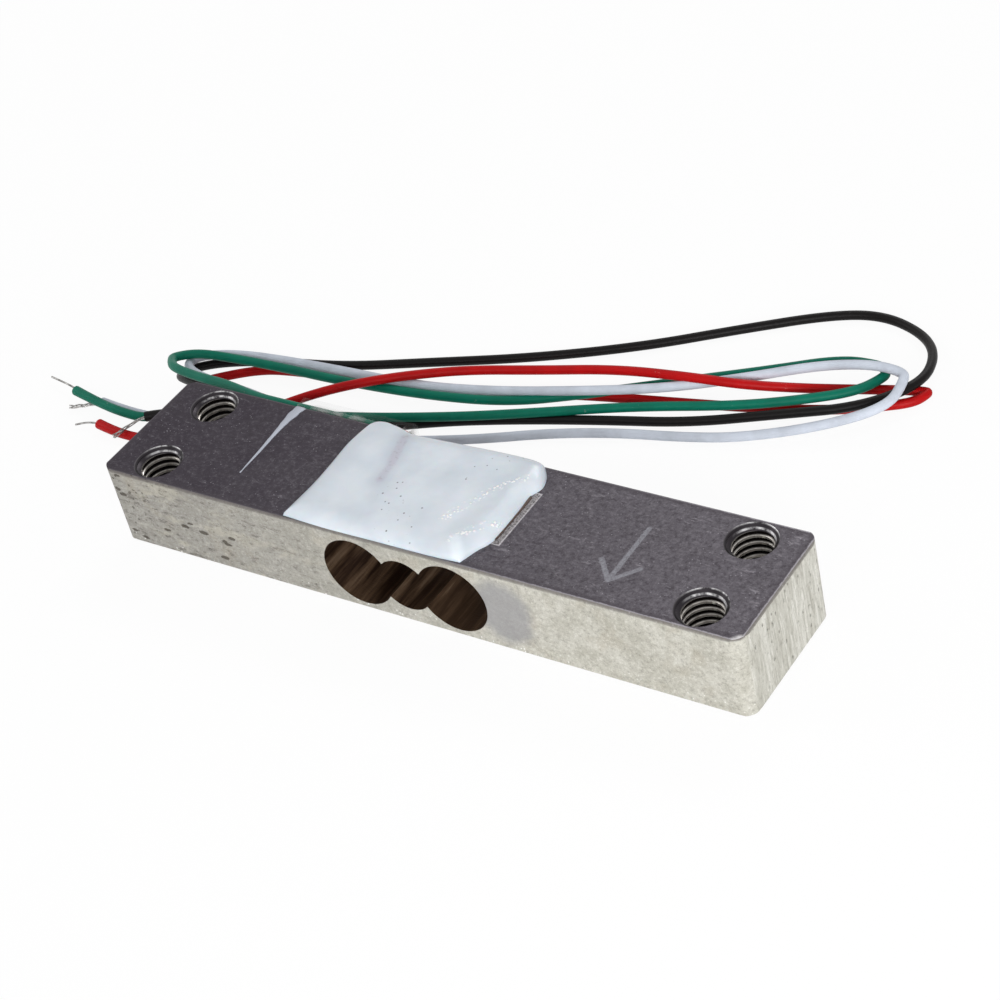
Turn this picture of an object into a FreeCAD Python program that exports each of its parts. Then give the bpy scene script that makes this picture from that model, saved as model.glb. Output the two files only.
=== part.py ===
# Single point load cell: an aluminium bar that bends at two thin places, with a foil strain
# gauge on its top face, white potting over the gauge and four thin leads.
# Frame, in millimetres: +X along the bar to its loaded end, +Y to the side where the leads
# leave, +Z up. The origin is at the centre of the bar's bottom face.
import FreeCAD, Part

import math
import os

import Sketcher

V = FreeCAD.Vector
X, Y, Z = V(1, 0, 0), V(0, 1, 0), V(0, 0, 1)

doc = FreeCAD.newDocument("load_cell")
sheet = doc.addObject("Spreadsheet::Sheet", "sizes")

# ---------------------------------------------------------------- driving dimensions
SIZES = (
    # bar
    ("bar_length", 47.0), ("bar_width", 9.8), ("bar_height", 5.9),
    ("corner_radius", 0.5), ("edge_break", 0.12),
    # side cut-out: two bores that leave the thin walls, joined by a smaller one
    ("bore_radius", 2.5), ("bore_spacing", 7.0), ("relief_radius", 1.9),
    # tapped holes, M3 x 0.5: the tapping drill and the countersunk rim
    ("hole_end_inset", 3.5), ("hole_side_inset", 1.9), ("tap_radius", 1.25), ("rim_radius", 1.64),
    # strain gauge on the top face
    ("film_length", 11.2), ("film_width", 4.3), ("film_thickness", 0.05), ("film_corner", 0.3),
    ("foil_thickness", 0.02), ("grid_length", 1.5), ("grid_spacing_y", 1.5),
    ("strand_width", 0.1), ("strand_gap", 0.1),
    ("tab_size", 0.6), ("tab_pitch", 1.0), ("tab_inset", 0.85),
    ("joint_radius", 0.27), ("joint_height", 0.52),
    # leads
    ("wire_diameter", 0.65), ("conductor_diameter", 0.24), ("root_pitch", 0.67),
    ("root_clearance", 0.01), ("root_turn", 0.75), ("root_bend", 0.45),
    ("bare_start", 0.55),
    ("glue_end", 14.5), ("wire_standoff", 0.045), ("level_drop", 0.55),
    # white potting
    ("potting_height", 0.95), ("potting_edge_radius", 0.5), ("potting_setback", 0.25),
    ("potting_left", 8.95), ("potting_right", 5.65), ("potting_cover", 0.17),
    ("potting_waist", 0.2), ("potting_slant", 1.0), ("potting_widest", 3.1),
    # clear glue on the back face and the white smear across the top
    ("glue_margin", 0.175), ("glue_edge_radius", 0.3),
    ("streak_place", 13.9), ("streak_length", 7.0), ("streak_width", 0.8),
    ("streak_thickness", 0.08), ("streak_margin", 0.15), ("streak_shoulder", 2.1),
)
for row, (word, value) in enumerate(SIZES, 1):
    sheet.set(f"A{row}", word)
    sheet.set(f"B{row}", str(value))
    sheet.setAlias(f"B{row}", word)
doc.recompute()


def size(word):
    return float(sheet.get(word))


def bind(thing, **expressions):
    for name, expression in expressions.items():
        thing.setExpression(name, expression)


# ---------------------------------------------------------------- modelling helpers
def new_body(label):
    body = doc.addObject("PartDesign::Body", label + "_body")
    body.Label = label
    return body


def new_sketch(body, role, name):
    plane = next(o for o in body.Origin.OriginFeatures if o.Role == role)
    sketch = body.newObject("Sketcher::SketchObject", name)
    sketch.AttachmentSupport = [(plane, "")]
    sketch.MapMode = "FlatFace"
    return sketch


def name_constraint(sketch, constraint, word, expression):
    sketch.renameConstraint(sketch.addConstraint(constraint), word)
    sketch.setExpression("Constraints." + word, expression)


def rectangle(sketch, left, right, low, high):
    """A rectangle whose four sides are bound to expressions."""
    corners = [V(1, 1, 0), V(2, 1, 0), V(2, 2, 0), V(1, 2, 0)]
    for a, b in zip(corners, corners[1:] + corners[:1]):
        sketch.addGeometry(Part.LineSegment(a, b))
    for side in range(4):
        sketch.addConstraint(Sketcher.Constraint("Coincident", side, 2, (side + 1) % 4, 1))
        way = "Horizontal" if side % 2 == 0 else "Vertical"
        sketch.addConstraint(Sketcher.Constraint(way, side))
    for word, way, line, place in (("left", "DistanceX", 0, left), ("low", "DistanceY", 0, low),
                                   ("right", "DistanceX", 2, right), ("high", "DistanceY", 2, high)):
        name_constraint(sketch, Sketcher.Constraint(way, -1, 1, line, 1, 1.0), word, place)


def bound_circle(sketch, word, at_x, at_y, radius):
    """A circle with its centre and radius bound to expressions."""
    circle = sketch.addGeometry(Part.Circle(V(1, 1, 0), Z, 1))
    for way, place in (("DistanceX", at_x), ("DistanceY", at_y)):
        name_constraint(sketch, Sketcher.Constraint(way, -1, 1, circle, 3, 1.0),
                        f"{word}_{way[-1]}", place)
    name_constraint(sketch, Sketcher.Constraint("Radius", circle, 1.0), word + "_r", radius)


NEAR = 0.01  # how closely an edge is found by its place


def edges_where(shape, test):
    return [f"Edge{n}" for n, edge in enumerate(shape.Edges, 1) if test(edge)]


def dress(body, kind, name, base, test, word, expression):
    """A fillet or chamfer on the edges of a feature that pass a test."""
    doc.recompute()
    feature = body.newObject("PartDesign::" + kind, name)
    feature.Base = (base, edges_where(base.Shape, test))
    bind(feature, **{word: expression})
    return feature


def rounded_path(points, share=0.45, most_reach=math.inf):
    """Straight runs joined by tangent arcs: their edges and the arcs' radii."""
    edges, radii, start = [], [], points[0]
    for before, corner, after in zip(points, points[1:], points[2:]):
        arrive, leave = corner - before, after - corner
        reach = min(share * min(arrive.Length, leave.Length), most_reach)
        arrive.normalize()
        leave.normalize()
        half_turn = arrive.getAngle(leave) / 2
        radius = reach / math.tan(half_turn)
        inward = (leave - arrive).normalize()
        middle = corner + inward * (radius / math.cos(half_turn) - radius)
        first, last = corner - arrive * reach, corner + leave * reach
        edges += [Part.LineSegment(start, first).toShape(), Part.Arc(first, middle, last).toShape()]
        radii.append(radius)
        start = last
    edges.append(Part.LineSegment(start, points[-1]).toShape())
    return edges, radii


def tube(label, points, diameter, most_reach=math.inf):
    """A round cord along a route; its volume is compared with section times length."""
    edges, radii = rounded_path(points, most_reach=most_reach)
    path = Part.Wire(edges)
    ring = Part.Circle(points[0], points[1] - points[0], diameter / 2).toShape()
    solid = path.makePipe(Part.Face(Part.Wire(ring)))
    expected = math.pi * diameter**2 / 4 * path.Length
    print(f"{label}: length {path.Length:.1f} mm, volume over section times length",
          f"{solid.Volume / expected:.4f}, arc radii", " ".join(f"{r:.1f}" for r in radii))
    return solid


def slab(corners, low, high, share=0.45):
    """A flat slab between two levels with a closed outline, rounded at every corner."""
    middle = (corners[0] + corners[1]) / 2
    edges, radii = rounded_path([middle] + corners[1:] + [corners[0], middle], share)
    face = Part.Face(Part.Wire(edges))
    face.translate(Z * low)
    return face.extrude(Z * (high - low))


def made(label, shape):
    """A sub-part whose shape is worked out here from the sheet's sizes."""
    feature = doc.addObject("Part::Feature", label + "_shape")
    feature.Shape = shape
    feature.Label = label
    return feature


def cut(label, base, tools):
    feature = doc.addObject("Part::Cut", label + "_cut")
    feature.Base = base
    feature.Tool = made(label + "_inside", Part.makeCompound([tool.Shape for tool in tools]))
    feature.Label = label
    return feature


# ---------------------------------------------------------------- beam
# One milled bar. The double bore through its side leaves a thin wall above and below each
# bore, so that the loaded end moves down without tilting.
def along_z(edge):
    return abs(edge.tangentAt(edge.FirstParameter).z) > 0.99


def beam_rim(edge):
    top = abs(edge.BoundBox.ZMin - size("bar_height")) < NEAR
    bottom = abs(edge.BoundBox.ZMax) < NEAR
    return top or bottom


def hole_rim(edge):
    return beam_rim(edge) and edge.Curve.TypeId == "Part::GeomCircle" and edge.isClosed()


beam = new_body("beam")
outline = new_sketch(beam, "XY_Plane", "bar_outline")
rectangle(outline, "-sizes.bar_length / 2", "sizes.bar_length / 2",
          "-sizes.bar_width / 2", "sizes.bar_width / 2")
bar = beam.newObject("PartDesign::Pad", "bar")
bar.Profile = outline
bind(bar, Length="sizes.bar_height")
corners = dress(beam, "Fillet", "corners", bar, along_z, "Radius", "sizes.corner_radius")
broken_edges = dress(beam, "Chamfer", "broken_edges", corners, beam_rim, "Size", "sizes.edge_break")

bores = new_sketch(beam, "XZ_Plane", "flexure_bores")
for word, side in (("fixed", "-"), ("loaded", "")):
    bound_circle(bores, word, side + "sizes.bore_spacing / 2", "sizes.bar_height / 2",
                 "sizes.bore_radius")
relief = new_sketch(beam, "XZ_Plane", "relief_bore")
bound_circle(relief, "relief", "0 mm", "sizes.bar_height / 2",
             "sizes.relief_radius")
holes = new_sketch(beam, "XY_Plane", "tapped_holes")
for end, end_sign in (("fixed", "-"), ("loaded", "")):
    for side, side_sign in (("front", "-"), ("back", "")):
        bound_circle(holes, f"{end}_{side}",
                     end_sign + "(sizes.bar_length / 2 - sizes.hole_end_inset)",
                     side_sign + "(sizes.bar_width / 2 - sizes.hole_side_inset)",
                     "sizes.tap_radius")
for sketch in (bores, relief, holes):
    doc.recompute()
    pocket = beam.newObject("PartDesign::Pocket", sketch.Name + "_cut")
    pocket.Profile = sketch
    pocket.Type = "ThroughAll"
    pocket.Midplane = True
dress(beam, "Chamfer", "hole_rims", pocket, hole_rim, "Size", "sizes.rim_radius - sizes.tap_radius")

# ---------------------------------------------------------------- strain gauge
# A polyimide carrier with one etched foil: four grids in a ring, with a solder tab at each
# of the ring's four corners. Each pair of grids lies over the thin wall of one bore.
film = new_body("gauge_film")
film_outline = new_sketch(film, "XY_Plane", "film_outline")
bind(film_outline, **{"AttachmentOffset.Base.z": "sizes.bar_height"})
rectangle(film_outline, "-sizes.film_length / 2", "sizes.film_length / 2",
          "-sizes.film_width / 2", "sizes.film_width / 2")
film_sheet = film.newObject("PartDesign::Pad", "film_sheet")
film_sheet.Profile = film_outline
bind(film_sheet, Length="sizes.film_thickness")
dress(film, "Fillet", "film_corners", film_sheet, along_z, "Radius", "sizes.film_corner")

FILM_TOP = size("bar_height") + size("film_thickness")
STRANDS = 6
TABS = 4
TAB_X = -size("film_length") / 2 + size("tab_inset")
TABS_Y = [(n - (TABS - 1) / 2) * size("tab_pitch") for n in range(TABS)]
STRAND = size("strand_width")
STRAND_PITCH = STRAND + size("strand_gap")
GRID_HEIGHT = (STRANDS - 1) * STRAND_PITCH


def foil_strip(x1, y1, x2, y2):
    """A straight strand of foil, square-ended, along X or Y between two points."""
    low = V(min(x1, x2) - STRAND / 2, min(y1, y2) - STRAND / 2, FILM_TOP)
    return Part.makeBox(abs(x2 - x1) + STRAND, abs(y2 - y1) + STRAND, size("foil_thickness"), low)


def trace(*places):
    return [foil_strip(*a, *b) for a, b in zip(places, places[1:])]


def grid(ends_x, far_x, rows):
    """A serpentine of strands along X whose two ends are both at ends_x."""
    strips = [foil_strip(ends_x, y, far_x, y) for y in rows]
    for number, (y, next_y) in enumerate(zip(rows, rows[1:])):
        turn_x = ends_x if number % 2 else far_x
        strips.append(foil_strip(turn_x, y, turn_x, next_y))
    return strips


def solder_tab(y):
    side = size("tab_size")
    return Part.makeBox(side, side, size("foil_thickness"), V(TAB_X - side / 2, y - side / 2, FILM_TOP))


near_x = size("bore_spacing") / 2 - size("grid_length") / 2
far_x = near_x + size("grid_length")
inner_y = size("grid_spacing_y") / 2 - GRID_HEIGHT / 2
rows = [inner_y + n * STRAND_PITCH for n in range(STRANDS)]
outer_y = rows[-1]
lane_y = outer_y + STRAND_PITCH
middle_y = STRAND_PITCH / 2
bus_x = -far_x - STRAND_PITCH
below = [-y for y in rows]

foil = [solder_tab(y) for y in TABS_Y]
foil += grid(-far_x, -near_x, rows) + grid(far_x, near_x, rows)
foil += grid(-far_x, -near_x, below) + grid(near_x, far_x, below)
for side in (-1, 1):
    foil += trace((TAB_X, side * TABS_Y[3]), (bus_x, side * TABS_Y[3]), (bus_x, side * outer_y),
                  (-far_x, side * outer_y))
    foil += trace((TAB_X, side * TABS_Y[2]), (bus_x, side * TABS_Y[2]), (bus_x, side * middle_y))
    foil += trace((bus_x, side * inner_y), (-far_x, side * inner_y))
foil += trace((bus_x, lane_y), (far_x, lane_y), (far_x, outer_y))
foil += trace((bus_x, middle_y), (near_x, middle_y), (near_x, -inner_y))
foil += trace((bus_x, -middle_y), (near_x - STRAND_PITCH, -middle_y),
              (near_x - STRAND_PITCH, -outer_y), (near_x, -outer_y))
foil += trace((bus_x, -lane_y), (far_x + STRAND_PITCH, -lane_y),
              (far_x + STRAND_PITCH, inner_y), (far_x, inner_y))
gauge_foil = made("gauge_foil", foil[0].multiFuse(foil[1:]).removeSplitter())

# ---------------------------------------------------------------- leads
# Each lead is soldered to its tab, runs back over the edge of the bar in the potting, turns
# along the back face in the clear glue, and comes free at the glue's end. Its free stretch
# drops to the surface, loops beside the bar and ends stripped at the fixed end.
WIRE = size("wire_diameter")
ROOT_Z = FILM_TOP + size("foil_thickness") + size("root_clearance") + WIRE / 2
ROOT_START_X = TAB_X - size("tab_size") / 2
EDGE_Z = size("bar_height") + size("root_clearance") + WIRE / 2
BACK_Y = size("bar_width") / 2 + size("wire_standoff") + WIRE / 2
ROUTES = {
    "green_wire": (
        [(-16.3, 5.27, 5.35), (-19.0, 5.9, 4.95), (-21.9, 6.2, 4.45), (-25.2, 6.9, 3.8), (-28.4, 7.9, 3.2),
         (-31.0, 9.3, 2.7), (-31.7, 11.3, 2.35), (-30.4, 12.7, 2.0), (-27.9, 13.2, 1.6),
         (-23.3, 13.4, 1.25), (-17.6, 13.4, 1.1), (-11.0, 13.7, 1.0), (-5.6, 15.0, 0.4),
         (-0.7, 17.4, 0.33), (4.3, 20.9, 0.33), (9.4, 24.1, 0.5), (13.5, 26.4, 0.9),
         (16.3, 27.1, 1.05), (18.1, 26.2, 1.05), (18.0, 24.3, 1.05), (16.4, 22.7, 1.05),
         (13.2, 20.9, 1.1), (9.2, 19.4, 1.05), (3.0, 17.4, 0.4), (-3.3, 15.2, 0.8),
         (-7.1, 13.0, 1.1), (-11.5, 11.4, 0.95), (-16.0, 10.4, 0.4), (-20.2, 9.5, 0.35),
         (-23.8, 8.4, 0.9), (-27.2, 6.9, 1.15), (-30.1, 5.95, 0.55), (-32.4, 5.7, 0.6),
         (-34.8, 5.95, 0.72), (-37.2, 6.7, 0.6)],
        [(-38.5, 7.15, 0.5), (-39.4, 7.35, 0.42), (-40.4, 7.4, 0.35)]),
    "black_wire": (
        [(-16.3, 5.27, 4.68), (-18.9, 6.3, 4.25), (-21.9, 6.95, 3.6), (-25.4, 7.6, 2.7), (-28.9, 8.7, 1.7),
         (-30.9, 10.3, 0.9), (-31.0, 12.3, 0.45), (-28.8, 13.5, 0.35), (-24.9, 14.2, 0.33),
         (-19.7, 15.6, 0.33), (-13.7, 17.4, 0.33), (-7.2, 20.2, 0.33), (-0.5, 24.0, 0.33),
         (5.2, 27.7, 0.33), (10.2, 31.2, 0.33), (13.7, 32.5, 0.33), (17.3, 31.4, 0.33),
         (20.0, 28.3, 0.8), (20.0, 24.8, 1.15), (17.2, 21.6, 1.15), (12.7, 19.1, 0.9),
         (7.0, 17.2, 0.33), (1.2, 15.8, 0.33), (-4.1, 13.9, 0.33), (-8.7, 11.9, 0.33),
         (-13.0, 10.3, 0.33), (-17.1, 9.2, 0.33), (-20.2, 8.6, 0.37), (-22.9, 7.7, 1.06),
         (-25.6, 6.6, 1.15), (-28.0, 5.7, 1.15), (-30.2, 5.2, 1.05)],
        [(-31.1, 4.5, 0.95), (-31.25, 3.7, 0.87), (-31.2, 2.8, 0.75)]),
    "white_wire": (
        [(-16.1, 5.27, 4.01), (-18.4, 6.85, 3.55), (-21.1, 7.7, 3.15), (-24.3, 8.3, 2.75), (-27.2, 9.1, 2.2),
         (-29.5, 10.2, 1.7), (-30.6, 11.9, 1.3), (-30.0, 13.5, 1.1), (-27.8, 14.3, 1.1),
         (-24.2, 14.5, 1.1), (-19.8, 14.7, 0.85), (-13.1, 15.4, 0.35), (-7.1, 16.4, 0.5),
         (-1.3, 17.8, 1.05), (3.8, 19.4, 1.05), (8.5, 21.8, 1.05), (13.1, 24.2, 1.4),
         (16.2, 25.8, 1.8), (18.7, 26.0, 1.8), (20.2, 23.9, 1.8), (18.9, 21.3, 1.55),
         (15.4, 18.9, 0.8), (10.9, 17.0, 0.4), (7.2, 15.7, 0.33), (3.0, 15.0, 0.33),
         (-1.4, 13.5, 0.33), (-5.7, 11.4, 0.33), (-9.9, 9.8, 0.33), (-15.0, 8.3, 0.33),
         (-20.5, 7.6, 0.33), (-26.0, 7.2, 0.33), (-30.5, 6.7, 0.33), (-34.4, 6.6, 0.33)],
        [(-35.5, 6.2, 0.22), (-36.05, 5.5, 0.13), (-36.8, 4.95, 0.13)]),
    "red_wire": (
        [(-15.9, 5.27, 3.34), (-18.1, 7.15, 2.9), (-20.9, 8.2, 2.5), (-24.2, 8.9, 2.0), (-26.6, 9.7, 1.5),
         (-28.3, 11.0, 0.9), (-27.9, 12.6, 0.5), (-25.8, 13.2, 0.35), (-22.4, 13.3, 0.33),
         (-17.2, 13.8, 0.33), (-11.9, 14.7, 0.35), (-6.3, 15.7, 0.85), (-0.3, 17.0, 1.15),
         (5.4, 19.1, 0.5), (10.5, 20.5, 0.33), (15.0, 21.4, 0.33), (18.1, 22.2, 0.33),
         (20.1, 23.2, 0.33), (21.0, 24.9, 0.33), (20.0, 26.3, 0.33), (18.0, 25.9, 0.33),
         (15.4, 24.3, 0.33), (12.3, 22.6, 0.6), (9.1, 21.3, 1.5), (5.7, 20.3, 1.85),
         (0.3, 19.9, 1.3), (-5.6, 19.1, 0.6), (-10.3, 17.5, 0.7), (-13.6, 15.3, 1.5),
         (-16.2, 12.9, 1.85), (-18.4, 10.7, 1.8), (-20.5, 8.5, 1.5), (-23.0, 6.5, 1.0),
         (-26.0, 5.3, 0.4), (-29.7, 4.2, 0.33), (-33.4, 4.0, 0.33)],
        [(-34.5, 3.85, 0.28), (-35.1, 3.5, 0.2)]),
}
roots, joints, loose = [], [], []
turn_x = ROOT_START_X - size("root_turn")
for number, (name, (route, stripped)) in enumerate(ROUTES.items()):
    inward = len(ROUTES) - 1 - number
    over_x = turn_x - inward * size("root_pitch")
    level = size("bar_height") - size("level_drop") - number * size("root_pitch")
    exit_point = V(-size("glue_end"), BACK_Y, level)
    start = V(ROOT_START_X, TABS_Y[number], ROOT_Z)
    root_route = [start, V(over_x, start.y, ROOT_Z), V(over_x, BACK_Y, EDGE_Z),
                  V(over_x, BACK_Y, level), exit_point]
    roots.append(made(name + "_root", tube(name + "_root", root_route, WIRE, size("root_bend"))))

    # the solder joint: a dome on the tab, with the lead's bare tip out to the insulation
    dome = Part.makeSphere(size("joint_radius"), V(TAB_X, start.y, 0), Z, 0, 90, 360)
    stretch = FreeCAD.Matrix()
    stretch.scale(1, 1, size("joint_height") / size("joint_radius"))
    dome = dome.transformGeometry(stretch)
    dome.translate(Z * (FILM_TOP + size("foil_thickness")))
    tip = Part.makeCylinder(size("conductor_diameter") / 2, TAB_X - start.x,
                            start, X)
    joints.append(dome.fuse(tip))

    free_route = [exit_point] + [V(*place) for place in route]
    loose.append(made(name, tube(name, free_route, WIRE)))
    stripped_at = free_route[-1]
    onward = (stripped_at - free_route[-2]).normalize() * size("bare_start")
    end_route = [stripped_at, stripped_at + onward] + [V(*place) for place in stripped]
    loose.append(made(name + "_end", tube(name + "_end", end_route, size("conductor_diameter"))))
solder_joints = made("solder_joints", Part.makeCompound(joints))

# ---------------------------------------------------------------- glue and potting
# A bead of clear glue holds the leads against the back face until they come free. White
# silicone covers the gauge and the joints, and laps over the leads onto the bead.
TOP = size("bar_height")
SIDE = size("bar_width") / 2
lead_back = BACK_Y + WIRE / 2
bead_low = exit_point.z - WIRE / 2 - size("glue_margin")
bead_near = turn_x + WIRE / 2 + size("potting_cover")
bead = Part.makeBox(bead_near + size("glue_end"), lead_back + size("glue_margin") - SIDE, TOP - bead_low,
                    V(-size("glue_end"), SIDE, bead_low))
outer_edges = [edge for edge in bead.Edges if edge.BoundBox.YMin > lead_back
               and edge.BoundBox.ZMin < TOP - NEAR and edge.BoundBox.XMax > NEAR - size("glue_end")]
bead = made("bead", bead.makeFillet(size("glue_edge_radius"), outer_edges))
wire_glue = cut("wire_glue", bead, roots)

left, right = -size("potting_left"), size("potting_right")
front, back = size("potting_setback") - SIDE, SIDE - NEAR
lip = lead_back + size("potting_cover")
waist, slant, widest = size("potting_waist"), size("potting_slant"), size("potting_widest")
potting_outline = [
    V(left + waist, front), V(right - slant, front), V(right - waist, -SIDE / 2), V(right - waist, 0),
    V(right, widest), V(right - slant, back), V(bead_near + slant, back), V(bead_near, lip),
    V(left + waist, lip), V(left, widest), V(left + waist, -SIDE / 4),
]
mound = slab(potting_outline, TOP, TOP + size("potting_height"))
crest = [edge for edge in mound.Edges if edge.BoundBox.ZMin > TOP + size("potting_height") - NEAR]
mound = made("mound", mound.makeFillet(size("potting_edge_radius"), crest))
silicone_cover = cut("silicone_cover", mound, [film, gauge_foil, solder_joints] + roots)

# a smear of the glue drawn across the top face from the bead, running out to a point
streak_x, half = -size("streak_place"), size("streak_width") / 2
streak_back, shoulder = SIDE - size("streak_margin"), SIDE - size("streak_shoulder")
streak_outline = [
    V(streak_x - half, streak_back), V(streak_x - half / 2, shoulder),
    V(streak_x - half / 3, SIDE - size("streak_length")), V(streak_x + half / 4, shoulder),
    V(streak_x + half, streak_back),
]
glue_streak = made("glue_streak", slab(streak_outline, TOP, TOP + size("streak_thickness")))

# ---------------------------------------------------------------- sub-parts
NODES = [beam, film, gauge_foil, solder_joints, silicone_cover, wire_glue, glue_streak] + roots + loose
doc.recompute()
for thing in doc.Objects:
    if {"Invalid", "Error"} & set(thing.State):
        raise RuntimeError(f"{thing.Label} is {thing.State}")
for node in NODES:
    if node.Shape.isNull() or not node.Shape.isValid() or not node.Shape.Solids:
        raise RuntimeError(f"{node.Label} has no valid solid")
os.makedirs("parts", exist_ok=True)
for node in NODES:
    node.Shape.exportStep(f"parts/{node.Label}.step")
    box = node.Shape.BoundBox
    print(f"{node.Label}: {len(node.Shape.Solids)} solid, {node.Shape.Volume:.2f} mm3,",
          f"x {box.XMin:.2f} to {box.XMax:.2f}, y {box.YMin:.2f} to {box.YMax:.2f},",
          f"z {box.ZMin:.2f} to {box.ZMax:.2f}")
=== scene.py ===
import math

import bmesh
import bpy
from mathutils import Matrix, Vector, noise


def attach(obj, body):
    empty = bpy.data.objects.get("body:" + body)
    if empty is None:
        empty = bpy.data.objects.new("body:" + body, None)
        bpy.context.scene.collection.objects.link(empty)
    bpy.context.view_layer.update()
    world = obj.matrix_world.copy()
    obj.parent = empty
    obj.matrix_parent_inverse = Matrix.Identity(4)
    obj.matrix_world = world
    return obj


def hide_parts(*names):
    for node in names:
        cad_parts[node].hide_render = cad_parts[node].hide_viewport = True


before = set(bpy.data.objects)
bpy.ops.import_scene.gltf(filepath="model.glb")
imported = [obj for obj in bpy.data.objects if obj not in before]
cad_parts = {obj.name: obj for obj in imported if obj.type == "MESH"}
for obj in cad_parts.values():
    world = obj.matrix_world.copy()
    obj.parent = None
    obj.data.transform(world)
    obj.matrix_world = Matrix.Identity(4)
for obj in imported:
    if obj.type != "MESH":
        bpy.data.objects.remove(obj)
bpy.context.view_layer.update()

# ---------------------------------------------------------------- camera
# A long lens looks down on the loaded end and along the bar, slightly rolled.
camera = bpy.data.objects.new("camera", bpy.data.cameras.new("camera"))
bpy.context.scene.collection.objects.link(camera)
camera.data.lens = 90.29
camera.data.sensor_width = 36.0
camera.data.clip_start = 0.01
camera.location = (0.0821, -0.08812, 0.09899)
camera.rotation_euler = (0.8911, 0.19288, 0.56642)
bpy.context.scene.camera = camera

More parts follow.
